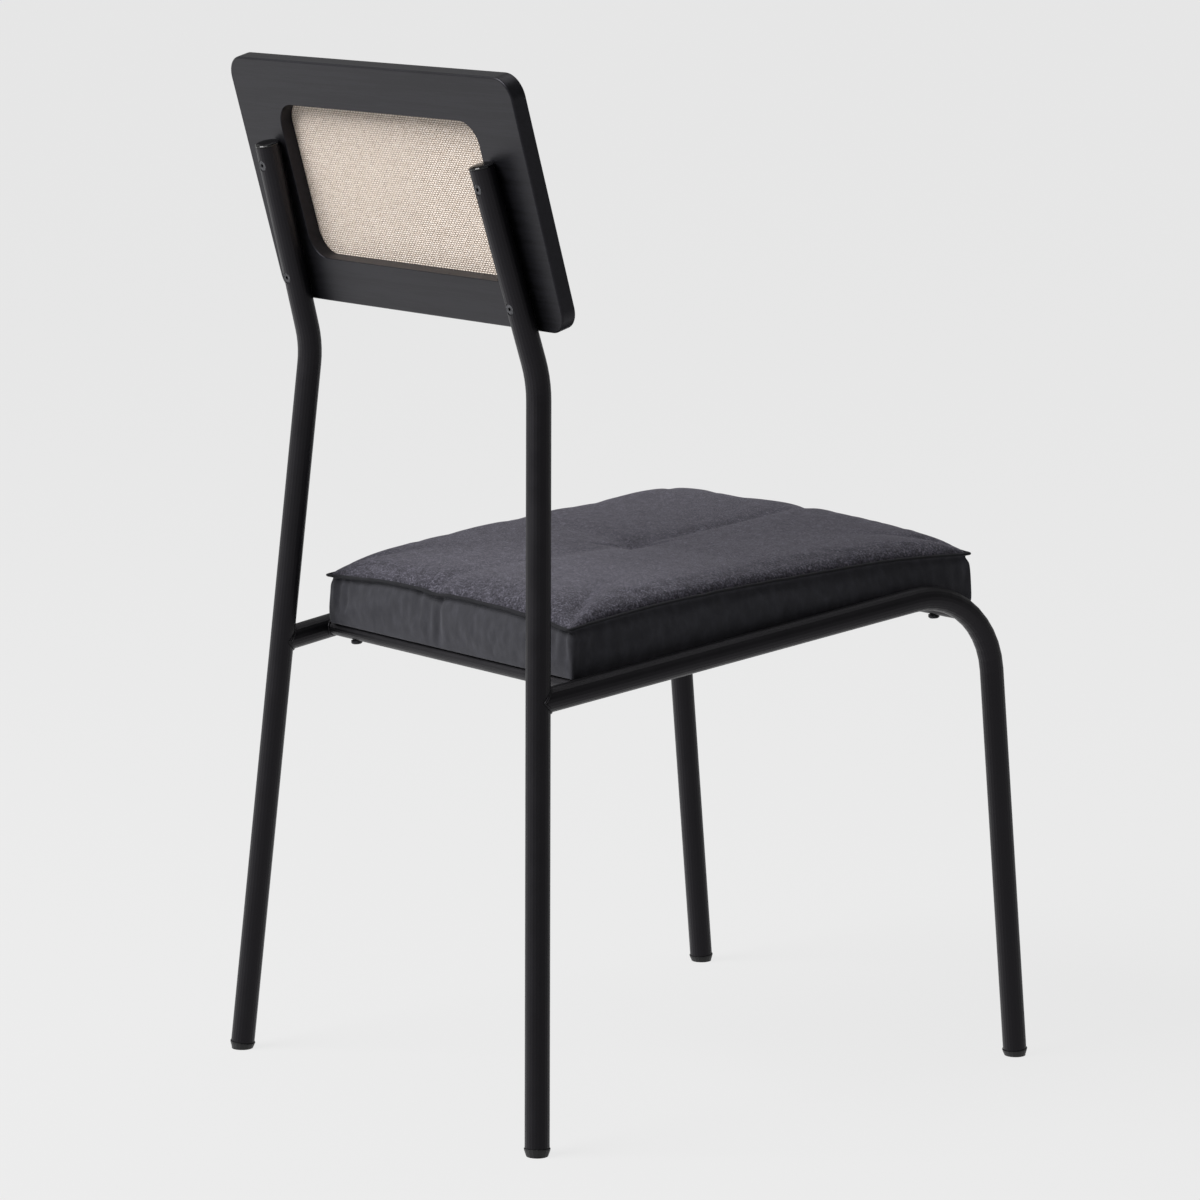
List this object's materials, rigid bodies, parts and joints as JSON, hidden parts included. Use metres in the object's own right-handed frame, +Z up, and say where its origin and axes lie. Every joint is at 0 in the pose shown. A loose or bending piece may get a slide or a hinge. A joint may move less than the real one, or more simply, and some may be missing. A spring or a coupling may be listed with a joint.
{
  "type": "dining chair",
  "caption": "Dining chair with a bent steel tube frame, a framed woven back and a thick boxed seat pad with a tufted middle.",
  "frame": {"origin": "bottom centre of the chair's bounding box, on the floor", "axes": "+Z up; the chair faces -Y, with its back towards +Y; +X is the sitter's left"},
  "size_m": [0.443, 0.5352, 0.8472],
  "materials": {
    "frame_steel": "satin powder coat",
    "foot_plastic": "moulded, fine grain",
    "plug_plastic": "gloss moulded",
    "screw_steel": "blackened steel",
    "back_board": "black matt lacquer over board",
    "back_weave": "open plain weave",
    "seat_cloth": "heathered flat weave",
    "foam": "open cell foam",
    "plywood": "sanded, unfinished",
    "dust_cloth": "bonded fibre",
    "fixing_zinc": "black zinc",
    "tie_plastic": "moulded"
  },
  "bodies": {
    "root": {"back_frame": "back_board", "back_retainer": "back_board", "back_screw_lower_left": "screw_steel", "back_screw_lower_right": "screw_steel", "back_screw_upper_left": "screw_steel", "back_screw_upper_right": "screw_steel", "back_weave": "back_weave", "cross_rail_front": "frame_steel", "cross_rail_rear": "frame_steel", "foot_cap_front_left": "foot_plastic", "foot_cap_front_right": "foot_plastic", "foot_cap_rear_left": "foot_plastic", "foot_cap_rear_right": "foot_plastic", "rear_upright_left": "frame_steel", "rear_upright_right": "frame_steel", "seat_board": "plywood", "seat_bolt_front_left": "fixing_zinc", "seat_bolt_front_right": "fixing_zinc", "seat_bolt_rear_left": "fixing_zinc", "seat_bolt_rear_right": "fixing_zinc", "seat_cover": "seat_cloth", "seat_dust_cloth": "dust_cloth", "seat_foam": "foam", "seat_nut_front_left": "fixing_zinc", "seat_nut_front_right": "fixing_zinc", "seat_nut_rear_left": "fixing_zinc", "seat_nut_rear_right": "fixing_zinc", "seat_piping": "seat_cloth", "side_rail_leg_left": "frame_steel", "side_rail_leg_right": "frame_steel", "top_plug_left": "plug_plastic", "top_plug_right": "plug_plastic", "tuft_tie": "tie_plastic", "weld_cross_front_left": "frame_steel", "weld_cross_front_right": "frame_steel", "weld_cross_rear_left": "frame_steel", "weld_cross_rear_right": "frame_steel", "weld_upright_left": "frame_steel", "weld_upright_right": "frame_steel"}
  },
  "joints": []
}
